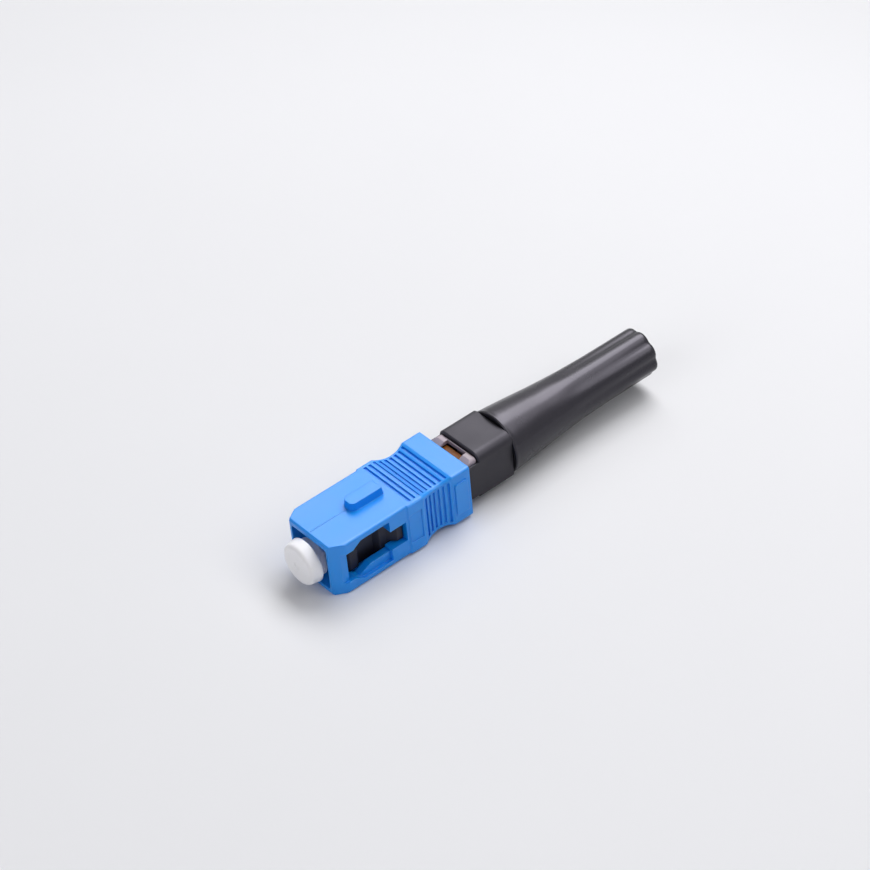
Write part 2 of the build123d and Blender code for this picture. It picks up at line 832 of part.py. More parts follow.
# Rear body: snap tongue with the spring seat, open channel, block and threaded stub
with BuildPart() as rear_body:
    with BuildSketch(across(seat_front + bond_film)):
        with Locations((0, (channel_wall_top - tongue_half_height) / 2)):
            Rectangle(2 * tongue_half_width, channel_wall_top + tongue_half_height)
    extrude(amount=body_front - seat_front + body_overlap)
    with BuildSketch(across(seat_front + bond_film)):
        Rectangle(2 * tongue_half_width, 2 * tongue_half_height)
    extrude(amount=seat_wall)
    with BuildSketch(across(seat_rear)):
        with Locations((0, (body_half_height - channel_floor) / 2)):
            Rectangle(2 * channel_half_width, body_half_height + channel_floor)
    extrude(amount=body_front - seat_rear + body_overlap, mode=Mode.SUBTRACT)
    with BuildSketch(across(seat_front)):
        Circle(sleeve_radius + spring_clearance)
    extrude(amount=seat_wall + bond_film, mode=Mode.SUBTRACT)
    # Snap bosses, sloped at the front
    with BuildSketch(Plane.XY.offset(-snap_half_height)):
        with BuildLine():
            Polyline(
                (tongue_half_width, snap_start + snug_clearance),
                (tongue_half_width + snap_rise, snap_start + snap_length / 2),
                (tongue_half_width + snap_rise, snap_start + snap_length - snug_clearance),
                (tongue_half_width, snap_start + snap_length - snug_clearance),
                close=True,
            )
        make_face()
        mirror(about=Plane.YZ)
    extrude(amount=2 * snap_half_height)
    # Block with flats above and below
    with BuildSketch(across(body_front)):
        RectangleRounded(2 * body_half_width, 2 * body_half_height, body_edge_round)
    extrude(amount=body_end - body_front)
    chamfer(rear_body.faces().filter_by(Axis.Y).filter_by(
        lambda f: abs(f.center().Y - body_front) < 0.001).edges().filter_by(
        lambda e: abs(e.center().Y - body_front) < 0.001 and (
            abs(e.center().Z) > (tongue_half_height + body_half_height) / 2
            or abs(e.center().X) > (tongue_half_width + body_half_width) / 2)), edge_break)
    # Cheeks that run forwards beside the locking slider, into the grip
    with BuildSketch(Plane.XY.offset(-slider_half_height)):
        with BuildLine():
            Polyline(
                (body_half_width - cheek_thickness, cheek_front),
                (body_half_width - edge_break, cheek_front),
                (body_half_width, cheek_front + edge_break),
                (body_half_width, body_front + 2 * edge_break),
                (body_half_width - cheek_thickness, body_front + 2 * edge_break),
                close=True,
            )
        make_face()
        mirror(about=Plane.YZ)
    extrude(amount=slider_half_height + slider_top - slider_edge_round - slide_clearance)
    # Stub for the tail cap, at the thread's root radius, relieved behind the shoulder
    with BuildSketch(Plane.XY):
        with BuildLine():
            Polyline(
                (0, body_end),
                (stub_radius - edge_break, body_end),
                (stub_radius - edge_break, body_end + shoulder_relief),
                (stub_radius, body_end + shoulder_relief + edge_break),
                (stub_radius, stub_end - stub_end_chamfer),
                (stub_radius - stub_end_chamfer, stub_end),
                (0, stub_end),
                close=True,
            )
        make_face()
    revolve(axis=Axis.Y)
    # Passage: clamp pocket, guide seat, collet bore with two keyways
    with BuildSketch(across(body_front)):
        pocket_top = rear_cover_height + pocket_headroom
        with Locations((0, (pocket_top - channel_floor) / 2)):
            Rectangle(2 * channel_half_width, pocket_top + channel_floor)
    extrude(amount=guide_front - body_front, mode=Mode.SUBTRACT)
    with BuildSketch(across(body_front)):
        Circle(guide_radius + bond_film)
    extrude(amount=collet_bore_start - body_front, mode=Mode.SUBTRACT)
    with BuildSketch(across(collet_bore_start)):
        Circle(collet_bore_radius)
        Rectangle(2 * (collet_bore_radius + key_rib_rise),
                  2 * (key_rib_half_width + snug_clearance))
    extrude(amount=stub_end - collet_bore_start, mode=Mode.SUBTRACT)
finish(rear_body, "rear_body")

# Fibre guide: funnel that leads the bare fibre into the V groove
with BuildPart() as fibre_guide:
    with BuildSketch(Plane.XY):
        with BuildLine():
            Polyline(
                (guide_throat_radius, guide_front + bond_film),
                (guide_radius, guide_front + bond_film),
                (guide_radius, guide_end),
                (guide_mouth_radius, guide_end),
                (guide_throat_radius, guide_front + guide_throat_length),
                close=True,
            )
        make_face()
    revolve(axis=Axis.Y)
finish(fibre_guide, "fibre_guide")

# Cable collet: split fingers, toothed inside, keyed in the stub's bore
with BuildPart() as cable_collet:
    with BuildSketch(Plane.XY):
        with BuildLine():
            Polyline(
                (0, collet_front),
                (collet_radius - edge_break, collet_front),
                (collet_radius, collet_front + edge_break),
                (collet_radius, collet_taper_start),
                (collet_radius - collet_taper_drop, collet_end),
                (0, collet_end),
                close=True,
            )
        make_face()
    revolve(axis=Axis.Y)
    # Key ribs, ending inside the stub
    with BuildSketch(across(collet_front + edge_break)):
        Rectangle(2 * (collet_radius + key_rib_rise), 2 * key_rib_half_width)
    extrude(amount=collet_ring_length)
    # Channel for a flat drop cable or a round one
    with BuildSketch(across(collet_front)):
        Rectangle(2 * cable_half_width, 2 * cable_half_height)
        Circle(cable_half_width)
    extrude(amount=collet_end - collet_front, mode=Mode.SUBTRACT)
    # Teeth on the two wide faces
    for index in range(tooth_count):
        y = collet_end - (index + 1) * tooth_pitch
        for up in (-1, 1):
            root = up * (math.sqrt(cable_half_width**2 - tooth_half_width**2) + tooth_root)
            with BuildSketch(from_side(-tooth_half_width)):
                with BuildLine():
                    Polyline(
                        (y - tooth_pitch / 2, root),
                        (y, root - up * (tooth_height + tooth_root)),
                        (y + tooth_root, root),
                        close=True,
                    )
                make_face()
            extrude(amount=2 * tooth_half_width)
    # Slits that part the fingers
    with BuildSketch(across(collet_front + collet_ring_length)):
        Rectangle(3 * collet_radius, collet_slit)
        Rectangle(collet_slit, 3 * collet_radius)
    extrude(amount=collet_end - collet_front, mode=Mode.SUBTRACT)
finish(cable_collet, "cable_collet")

# Tail cap: waisted taper with lengthwise flutes towards the cable end
with BuildPart() as tail_cap:
    with BuildSketch(Plane.XY):
        with BuildLine():
            Polyline(
                (0, cap_front),
                (cap_front_radius - cap_front_break, cap_front),
                (cap_front_radius, cap_front + cap_front_break),
                *((radius, cap_front + offset) for offset, radius in cap_waist),
                (cap_end_radius, cap_end - cap_end_chamfer),
                (cap_end_radius - cap_end_chamfer, cap_end),
                (0, cap_end),
                close=True,
            )
        make_face()
    revolve(axis=Axis.Y)
    # Bore: thread zone, collet taper, exit for the cable
    with BuildSketch(Plane.XY):
        with BuildLine():
            Polyline(
                (0, cap_front),
                (cap_thread_radius + edge_break, cap_front),
                (cap_thread_radius, cap_front + edge_break),
                (cap_thread_radius, cap_thread_end),
                (collet_radius + cone_clearance, cap_thread_end + cap_thread_margin),
                (collet_radius + cone_clearance, collet_taper_start),
                (collet_radius - collet_taper_drop + cone_clearance, collet_end + part_gap),
                (exit_bore_radius, collet_end + part_gap),
                (exit_bore_radius, cap_end - exit_flare),
                (exit_bore_radius + exit_flare, cap_end),
                (0, cap_end),
                close=True,
            )
        make_face()
    revolve(axis=Axis.Y, mode=Mode.SUBTRACT)
    # Flutes: round cutters that sink in towards the end
    shallow_radius = cap_waist[-2][1] - flute_start_depth + flute_radius
    deep_radius = cap_end_radius - flute_depth + flute_radius
    for index in range(flute_count):
        angle = math.radians(flute_first_angle + index * 360 / flute_count)
        outward = Vector(math.sin(angle), 0, math.cos(angle))
        start = outward * shallow_radius + Vector(0, cap_front + flute_offset, 0)
        run = outward * deep_radius + Vector(0, cap_end + flute_overrun, 0) - start
        with BuildSketch(Plane(origin=start, z_dir=run.normalized())):
            Circle(flute_radius)
        extrude(amount=run.length, mode=Mode.SUBTRACT)
finish(tail_cap, "tail_cap")
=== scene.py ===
import math

import bmesh
import bpy
from bpy.props import FloatProperty, FloatVectorProperty, IntProperty, PointerProperty
from mathutils import Matrix, Vector


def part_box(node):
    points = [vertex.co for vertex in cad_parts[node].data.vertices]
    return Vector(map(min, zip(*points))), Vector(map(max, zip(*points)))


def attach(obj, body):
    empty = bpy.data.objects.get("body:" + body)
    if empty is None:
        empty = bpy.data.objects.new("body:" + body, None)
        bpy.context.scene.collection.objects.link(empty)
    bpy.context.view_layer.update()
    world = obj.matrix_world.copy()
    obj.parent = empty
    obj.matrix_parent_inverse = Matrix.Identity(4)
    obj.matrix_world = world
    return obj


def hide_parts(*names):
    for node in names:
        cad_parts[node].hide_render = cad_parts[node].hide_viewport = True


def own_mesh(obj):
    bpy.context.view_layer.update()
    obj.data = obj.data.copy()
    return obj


bl_info = {
    "name": "Push-pull fibre plug",
    "version": (1, 0, 0),
    "blender": (4, 5, 0),
    "location": "View3D > Sidebar > Fibre plug",
    "description": "Dresses the solids of a field-installable fibre optic plug and lights them",
    "category": "Object",
}

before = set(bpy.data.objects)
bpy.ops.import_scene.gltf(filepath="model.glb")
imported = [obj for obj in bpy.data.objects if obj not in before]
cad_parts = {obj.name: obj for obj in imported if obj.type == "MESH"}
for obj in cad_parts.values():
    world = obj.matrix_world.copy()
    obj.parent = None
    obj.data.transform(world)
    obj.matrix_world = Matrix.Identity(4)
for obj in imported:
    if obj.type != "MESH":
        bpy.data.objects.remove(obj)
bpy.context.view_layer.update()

MM = 0.001
FIBRE_AXIS = Vector((0, 1, 0))
CAP_LOW, CAP_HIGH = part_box("tail_cap")
DUST_LOW, DUST_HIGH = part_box("dust_cap")
GRIP_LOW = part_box("grip_sleeve")[0]


def linear(code):
    """An sRGB hex value as linear red, green and blue."""
    channels = [int(code[i:i + 2], 16) / 255 for i in (1, 3, 5)]
    return tuple(c / 12.92 if c <= 0.04045 else ((c + 0.055) / 1.055) ** 2.4 for c in channels)


def paint(colour):
    """A colour property, or a hex value, as the four numbers that a colour socket holds."""
    return (*(linear(colour) if isinstance(colour, str) else colour), 1.0)


def per_metre(size_mm):
    """The scale that gives a procedural pattern features of that size in millimetres."""
    return 1.0 / (size_mm * MM)


class PlugSizes(bpy.types.PropertyGroup):
    """Sizes of the dressed pieces."""

    head_round: FloatProperty(
        name="Dust cap rounding", description="Rounding of the dust cap's front rim",
        default=0.55 * MM, min=0.2 * MM, max=0.8 * MM, subtype="DISTANCE", unit="LENGTH")
    flute_depth: FloatProperty(
        name="Flute depth", description="Depth of the screw cap's flutes at its rear end",
        default=0.28 * MM, min=0.0, max=0.6 * MM, subtype="DISTANCE", unit="LENGTH")
    flute_count: IntProperty(
        name="Flutes", description="Flutes round the screw cap", default=8, min=3, max=16)
    flute_angle: FloatProperty(
        name="First flute", description="Angle of the first flute from the top, towards +X",
        default=math.radians(36), subtype="ANGLE", unit="ROTATION")
    flute_spread: FloatProperty(
        name="Flute spread",
        description="Angle from a flute's middle to where it is about a third as deep",
        default=math.radians(11), min=math.radians(4), max=math.radians(20),
        subtype="ANGLE", unit="ROTATION")
    thread_pitch: FloatProperty(
        name="Thread pitch", description="Advance of the stub's thread in one turn",
        default=1.0 * MM, min=0.5 * MM, max=2.0 * MM, subtype="DISTANCE", unit="LENGTH")
    thread_height: FloatProperty(
        name="Thread height", description="Height of the thread over the stub",
        default=0.24 * MM, min=0.1 * MM, max=0.3 * MM, subtype="DISTANCE", unit="LENGTH")
    spring_wire: FloatProperty(
        name="Spring wire", description="Radius of the ferrule spring's wire",
        default=0.14 * MM, min=0.08 * MM, max=0.16 * MM, subtype="DISTANCE", unit="LENGTH")
    spring_pitch: FloatProperty(
        name="Spring pitch", description="Mean advance of the ferrule spring in one turn",
        default=0.76 * MM, min=0.5 * MM, max=1.5 * MM, subtype="DISTANCE", unit="LENGTH")


class PlugColours(bpy.types.PropertyGroup):
    """Colours of the plug and of the stage."""

    grip: FloatVectorProperty(
        name="Grip", description="Blue of the grip sleeve", subtype="COLOR",
        default=linear("#0291F2"), min=0, max=1)
    dust_cap: FloatVectorProperty(
        name="Dust cap", description="Milky white of the dust cap", subtype="COLOR",
        default=linear("#FBFAFE"), min=0, max=1)
    black: FloatVectorProperty(
        name="Black mouldings", description="Body, frame and screw cap", subtype="COLOR",
        default=linear("#121216"), min=0, max=1)
    lock: FloatVectorProperty(
        name="Locking slider", description="Off-white of the locking slider", subtype="COLOR",
        default=linear("#B5A7AF"), min=0, max=1)
    amber: FloatVectorProperty(
        name="Clamp", description="Amber of the clamp covers", subtype="COLOR",
        default=linear("#7E4608"), min=0, max=1)
    floor: FloatVectorProperty(
        name="Floor", description="Floor and backdrop", subtype="COLOR",
        default=linear("#E6E6E9"), min=0, max=1)


def add(tree, kind, inputs=None, **settings):
    """Add a node, give it its settings, and set or link its inputs."""
    node = tree.nodes.new(kind)
    for name, value in settings.items():
        setattr(node, name, value)
    for key, value in (inputs or {}).items():
        if isinstance(value, bpy.types.NodeSocket):
            tree.links.new(value, node.inputs[key])
        else:
            node.inputs[key].default_value = value
    return node


def start_material(name):
    """An empty material, its node tree and the Object coordinates that its patterns follow."""
    material = bpy.data.materials.get(name) or bpy.data.materials.new(name)
    material.use_nodes = True
    tree = material.node_tree
    tree.nodes.clear()
    return material, tree, add(tree, "ShaderNodeTexCoord").outputs["Object"]


def blue_pbt(colour):
    """Pigmented PBT from a spark-eroded mould: satin, uneven in gloss, deep in the shade."""
    material, tree, place = start_material("moulded_blue_pbt")
    flow = add(tree, "ShaderNodeTexNoise", {
        "Vector": place, "Scale": per_metre(5.0), "Detail": 3.0})
    tint = add(tree, "ShaderNodeMix", {
        0: flow.outputs["Fac"],
        6: paint(tuple(0.93 * c for c in colour)),
        7: paint(tuple(min(1.0, 1.05 * c) for c in colour)),
    }, data_type="RGBA")
    # The real spark-eroded grain is about 0.03 mm; it is drawn at 0.16 mm so that it shows
    grain = add(tree, "ShaderNodeTexNoise", {
        "Vector": place, "Scale": per_metre(0.16), "Detail": 2.0})
    gloss = add(tree, "ShaderNodeMapRange", {
        "Value": flow.outputs["Fac"], "From Min": 0.3, "From Max": 0.7,
        "To Min": 0.27, "To Max": 0.36})
    edge = add(tree, "ShaderNodeBevel", {"Radius": 0.13 * MM}, samples=8)
    bump = add(tree, "ShaderNodeBump", {
        "Height": grain.outputs["Fac"], "Strength": 0.35, "Distance": 0.004 * MM,
        "Normal": edge.outputs["Normal"]})
    shader = add(tree, "ShaderNodeBsdfPrincipled", {
        "Base Color": tint.outputs[2], "Roughness": gloss.outputs["Result"],
        "Normal": bump.outputs["Normal"], "IOR": 1.55, "Specular IOR Level": 0.5,
        "Subsurface Weight": 0.12, "Subsurface Scale": MM, "Subsurface Radius": (0.1, 0.35, 0.9)})
    add(tree, "ShaderNodeOutputMaterial", {"Surface": shader.outputs["BSDF"]})
    return material


def milky_polyethylene(colour):
    """Unpigmented low-density polyethylene: waxy and milky, as light goes a little way in."""
    material, tree, place = start_material("milky_polyethylene")
    cloud = add(tree, "ShaderNodeTexNoise", {
        "Vector": place, "Scale": per_metre(1.8), "Detail": 2.0})
    tint = add(tree, "ShaderNodeMix", {
        0: cloud.outputs["Fac"], 6: paint(tuple(0.95 * c for c in colour)), 7: paint(colour),
    }, data_type="RGBA")
    wax = add(tree, "ShaderNodeTexNoise", {
        "Vector": place, "Scale": per_metre(0.3), "Detail": 2.0})
    bump = add(tree, "ShaderNodeBump", {
        "Height": wax.outputs["Fac"], "Strength": 0.3, "Distance": 0.006 * MM})
    shader = add(tree, "ShaderNodeBsdfPrincipled", {
        "Base Color": tint.outputs[2], "Roughness": 0.36, "Normal": bump.outputs["Normal"],
        "IOR": 1.51, "Subsurface Weight": 0.25, "Subsurface Scale": MM,
        "Subsurface Radius": (0.9, 0.88, 0.95)})
    add(tree, "ShaderNodeOutputMaterial", {"Surface": shader.outputs["BSDF"]})
    return material


def black_nylon(name, colour, low_gloss, high_gloss):
    """Black nylon, injection moulded: a broad satin sheen, broken a little by handling."""
    material, tree, place = start_material(name)
    wear = add(tree, "ShaderNodeTexNoise", {
        "Vector": place, "Scale": per_metre(3.5), "Detail": 5.0})
    tint = add(tree, "ShaderNodeMix", {
        0: wear.outputs["Fac"], 6: paint(tuple(0.85 * c for c in colour)),
        7: paint(tuple(1.15 * c for c in colour)),
    }, data_type="RGBA")
    gloss = add(tree, "ShaderNodeMapRange", {
        "Value": wear.outputs["Fac"], "From Min": 0.3, "From Max": 0.7,
        "To Min": low_gloss, "To Max": high_gloss})
    # The moulded grain of about 0.04 mm is drawn at 0.18 mm so that it shows
    grain = add(tree, "ShaderNodeTexNoise", {
        "Vector": place, "Scale": per_metre(0.18), "Detail": 2.0})
    edge = add(tree, "ShaderNodeBevel", {"Radius": 0.1 * MM}, samples=6)
    bump = add(tree, "ShaderNodeBump", {
        "Height": grain.outputs["Fac"], "Strength": 0.4, "Distance": 0.005 * MM,
        "Normal": edge.outputs["Normal"]})
    shader = add(tree, "ShaderNodeBsdfPrincipled", {
        "Base Color": tint.outputs[2], "Roughness": gloss.outputs["Result"],
        "Normal": bump.outputs["Normal"], "IOR": 1.53, "Specular IOR Level": 0.47,
        "Specular Tint": paint("#F4EEFF")})
    add(tree, "ShaderNodeOutputMaterial", {"Surface": shader.outputs["BSDF"]})
    return material


def natural_acetal(name, colour):
    """Natural acetal: off-white, matt on the flats, with faint dark specks."""
    material, tree, place = start_material(name)
    cloud = add(tree, "ShaderNodeTexNoise", {
        "Vector": place, "Scale": per_metre(1.2), "Detail": 4.0})
    speck = add(tree, "ShaderNodeTexVoronoi", {"Vector": place, "Scale": per_metre(0.45)})
    spot = add(tree, "ShaderNodeMapRange", {
        "Value": speck.outputs["Distance"], "From Min": 0.05, "From Max": 0.18,
        "To Min": 0.8, "To Max": 1.0})
    tint = add(tree, "ShaderNodeMix", {
        0: cloud.outputs["Fac"], 6: paint(tuple(0.86 * c for c in colour)), 7: paint(colour),
    }, data_type="RGBA")
    shade = add(tree, "ShaderNodeMix", {
        0: 1.0, 6: tint.outputs[2], 7: spot.outputs["Result"],
    }, data_type="RGBA", blend_type="MULTIPLY")
    edge = add(tree, "ShaderNodeBevel", {"Radius": 0.08 * MM}, samples=6)
    bump = add(tree, "ShaderNodeBump", {
        "Height": cloud.outputs["Fac"], "Strength": 0.3, "Distance": 0.01 * MM,
        "Normal": edge.outputs["Normal"]})
    shader = add(tree, "ShaderNodeBsdfPrincipled", {
        "Base Color": shade.outputs[2], "Roughness": 0.48, "Normal": bump.outputs["Normal"],
        "IOR": 1.48, "Subsurface Weight": 0.3, "Subsurface Scale": MM,
        "Subsurface Radius": (0.5, 0.45, 0.4)})
    add(tree, "ShaderNodeOutputMaterial", {"Surface": shader.outputs["BSDF"]})
    return material


def amber_pei(colour):
    """Unfilled polyetherimide: dark amber and satin, as light goes a little way in."""
    material, tree, place = start_material("amber_pei")
    flow = add(tree, "ShaderNodeTexNoise", {
        "Vector": place, "Scale": per_metre(1.5), "Detail": 3.0})
    tint = add(tree, "ShaderNodeMix", {
        0: flow.outputs["Fac"], 6: paint(tuple(0.7 * c for c in colour)),
        7: paint(tuple(min(1.0, 1.3 * c) for c in colour)),
    }, data_type="RGBA")
    gloss = add(tree, "ShaderNodeMapRange", {
        "Value": flow.outputs["Fac"], "To Min": 0.3, "To Max": 0.45})
    shader = add(tree, "ShaderNodeBsdfPrincipled", {
        "Base Color": tint.outputs[2], "Roughness": gloss.outputs["Result"], "IOR": 1.65,
        "Specular IOR Level": 0.1, "Transmission Weight": 0.05, "Subsurface Weight": 0.3,
        "Subsurface Scale": MM, "Subsurface Radius": (0.9, 0.4, 0.1)})
    add(tree, "ShaderNodeOutputMaterial", {"Surface": shader.outputs["BSDF"]})
    return material


def polished_zirconia():
    """Sintered zirconia, ground and polished: a faintly warm white with a glassy gloss."""
    material, tree, place = start_material("polished_zirconia")
    cloud = add(tree, "ShaderNodeTexNoise", {
        "Vector": place, "Scale": per_metre(0.8), "Detail": 3.0})
    tint = add(tree, "ShaderNodeMix", {
        0: cloud.outputs["Fac"], 6: paint("#E9E8E2"), 7: paint("#F6F5F1")}, data_type="RGBA")
    polish = add(tree, "ShaderNodeMapRange", {
        "Value": cloud.outputs["Fac"], "To Min": 0.08, "To Max": 0.16})
    shader = add(tree, "ShaderNodeBsdfPrincipled", {
        "Base Color": tint.outputs[2], "Roughness": polish.outputs["Result"], "IOR": 2.1,
        "Subsurface Weight": 0.35, "Subsurface Scale": MM, "Subsurface Radius": (0.4, 0.35, 0.3)})
    add(tree, "ShaderNodeOutputMaterial", {"Surface": shader.outputs["BSDF"]})
    return material


def steel(name, along, across, roughness):
    """Stainless steel, turned, drawn or rolled: fine lines streak its gloss."""
    material, tree, place = start_material(name)
    lines = add(tree, "ShaderNodeMapping", {
        "Vector": place, "Scale": (per_metre(across), per_metre(along), per_metre(across))})
    streak = add(tree, "ShaderNodeTexNoise", {
        "Vector": lines.outputs["Vector"], "Scale": 1.0, "Detail": 3.0})
    tint = add(tree, "ShaderNodeMix", {
        0: streak.outputs["Fac"], 6: paint("#9C9CA0"), 7: paint("#C9C9CC")}, data_type="RGBA")
    gloss = add(tree, "ShaderNodeMapRange", {
        "Value": streak.outputs["Fac"], "To Min": roughness - 0.08, "To Max": roughness + 0.08})
    bump = add(tree, "ShaderNodeBump", {
        "Height": streak.outputs["Fac"], "Strength": 0.3, "Distance": 0.003 * MM})
    shader = add(tree, "ShaderNodeBsdfPrincipled", {
        "Base Color": tint.outputs[2], "Metallic": 1.0, "Roughness": gloss.outputs["Result"],
        "Normal": bump.outputs["Normal"]})
    add(tree, "ShaderNodeOutputMaterial", {"Surface": shader.outputs["BSDF"]})
    return material


def drawn_silica():
    """Drawn silica glass: a clear fibre with a fire-polished skin."""
    material, tree, place = start_material("drawn_silica")
    draw = add(tree, "ShaderNodeTexNoise", {
        "Vector": place, "Scale": per_metre(0.5), "Detail": 1.0})
    skin = add(tree, "ShaderNodeMapRange", {
        "Value": draw.outputs["Fac"], "To Min": 0.02, "To Max": 0.06})
    shader = add(tree, "ShaderNodeBsdfPrincipled", {
        "Base Color": paint("#EEF6FA"), "Roughness": skin.outputs["Result"], "IOR": 1.46,
        "Transmission Weight": 0.9})
    add(tree, "ShaderNodeOutputMaterial", {"Surface": shader.outputs["BSDF"]})
    return material


def seen_rays(tree):
    """1 for the rays that show a background: the camera's, and those off or through a piece."""
    ray = add(tree, "ShaderNodeLightPath").outputs
    seen = ray["Is Camera Ray"]
    for kind in ("Is Glossy Ray", "Is Transmission Ray"):
        both = add(tree, "ShaderNodeMath", {0: seen, 1: ray[kind]}, operation="MAXIMUM")
        seen = both.outputs["Value"]
    return seen


def pale_board(colour):
    """Pale card: matt, its fibre only just seen, and an even backdrop away from the plug."""
    material, tree, place = start_material("pale_board")
    fibre = add(tree, "ShaderNodeTexNoise", {
        "Vector": place, "Scale": per_metre(30.0), "Detail": 2.0})
    tint = add(tree, "ShaderNodeMix", {
        0: fibre.outputs["Fac"], 6: paint(tuple(0.98 * c for c in colour)), 7: paint(colour),
    }, data_type="RGBA")
    card = add(tree, "ShaderNodeBsdfPrincipled", {
        "Base Color": tint.outputs[2], "Roughness": 0.85, "Specular IOR Level": 0.1})
    # The floor under the lamps would clip, so between these distances from the plug it goes over
    # to the card's own colour
    lit_reach, even_reach = 0.09, 0.2
    reach = add(tree, "ShaderNodeVectorMath", {0: place}, operation="LENGTH")
    away = add(tree, "ShaderNodeMapRange", {
        "Value": reach.outputs["Value"], "From Min": lit_reach, "From Max": even_reach},
        interpolation_type="SMOOTHSTEP")
    share = add(tree, "ShaderNodeMath", {0: away.outputs["Result"], 1: seen_rays(tree)},
                operation="MULTIPLY")
    cove = add(tree, "ShaderNodeEmission", {"Color": paint(colour), "Strength": 1.0})
    shader = add(tree, "ShaderNodeMixShader", {
        0: share.outputs["Value"], 1: card.outputs["BSDF"], 2: cove.outputs["Emission"]})
    add(tree, "ShaderNodeOutputMaterial", {"Surface": shader.outputs["Shader"]})
    return material


def finish_node(node, material):
    """Give a CAD node its material; its mesh stays as it is."""
    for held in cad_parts[node].material_slots:
        held.material = material


def finish_piece(shape, name, body, material, node=None, smooth=35):
    """Turn a bmesh into a piece that rides on a body, in place of a CAD node if one is named."""
    mesh = bpy.data.meshes.new(name)
    shape.to_mesh(mesh)
    shape.free()
    mesh.materials.append(material)
    piece = bpy.data.objects.new(name, mesh)
    bpy.context.scene.collection.objects.link(piece)
    mesh.shade_smooth()
    mesh.set_sharp_from_angle(angle=math.radians(smooth))
    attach(piece, body)
    if node:
        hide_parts(node)
    return piece


def lathe(profile, steps):
    """A closed bmesh turned about the fibre axis from (radius, place along it) in millimetres."""
    shape = bmesh.new()
    corners = [shape.verts.new((radius * MM, y * MM, 0)) for radius, y in profile]
    edges = [shape.edges.new(pair) for pair in zip(corners, corners[1:])]
    bmesh.ops.spin(
        shape, geom=corners + edges, cent=(0, 0, 0), axis=FIBRE_AXIS, dvec=(0, 0, 0),
        angle=math.tau, steps=steps, use_merge=True, use_duplicate=False)
    bmesh.ops.remove_doubles(shape, verts=shape.verts, dist=0.0005 * MM)
    bmesh.ops.recalc_face_normals(shape, faces=shape.faces)
    return shape


def ease(value, low, high):
    """A smooth step from 0 at low to 1 at high."""
    share = min(1.0, max(0.0, (value - low) / (high - low)))
    return share * share * (3 - 2 * share)


class PLUG_OT_grip(bpy.types.Operator):
    """Show the grip sleeve in its blue finish"""

    bl_idname = "plug.grip"
    bl_label = "Grip sleeve"

    def execute(self, context):
        finish_node("grip_sleeve", blue_pbt(context.scene.plug_colours.grip))
        return {"FINISHED"}


class PLUG_OT_dust_cap(bpy.types.Operator):
    """Turn the dust cap with its rounded head and thin collar"""

    bl_idname = "plug.dust_cap"
    bl_label = "Dust cap"

    def execute(self, context):
        front, rear = DUST_LOW.y / MM, DUST_HIGH.y / MM
        side = DUST_HIGH.x / MM
        rounding = context.scene.plug_sizes.head_round / MM
        draft = 0.15
        rim = side - draft - rounding
        dimple = 0.12
        head_rear, collar_rear = -0.4, 0.5
        collar, tube, bore, bore_front = side - 0.46, 1.85, 1.28, -1.15
        gate = [(0, front + dimple), (0.36, front + dimple), (0.42, front + 0.09),
                (0.46, front + 0.02), (0.52, front)]
        rim_steps = 8
        face = []
        for step in range(rim_steps + 1):
            turn = math.radians(90) * step / rim_steps
            face.append((rim + rounding * math.sin(turn), front + rounding * (1 - math.cos(turn))))
        head = [(side - 0.06, -0.9), (side, -0.56), (side - 0.02, -0.48), (side - 0.11, -0.41),
                (side - 0.2, head_rear), (side - 0.4, head_rear), (collar, head_rear + 0.06)]
        neck = [(collar, collar_rear - 0.08), (collar - 0.04, collar_rear),
                (tube + 0.05, collar_rear), (tube, collar_rear + 0.06)]
        end = [(tube, rear - 0.08), (tube - 0.07, rear), (bore + 0.08, rear), (bore, rear - 0.08)]
        inside = [(bore, bore_front), (0, bore_front)]
        profile = gate + face + head + neck + end + inside
        finish_piece(lathe(profile, 128), "dust_cap_moulding", "cap",
                     milky_polyethylene(context.scene.plug_colours.dust_cap), "dust_cap")
        return {"FINISHED"}


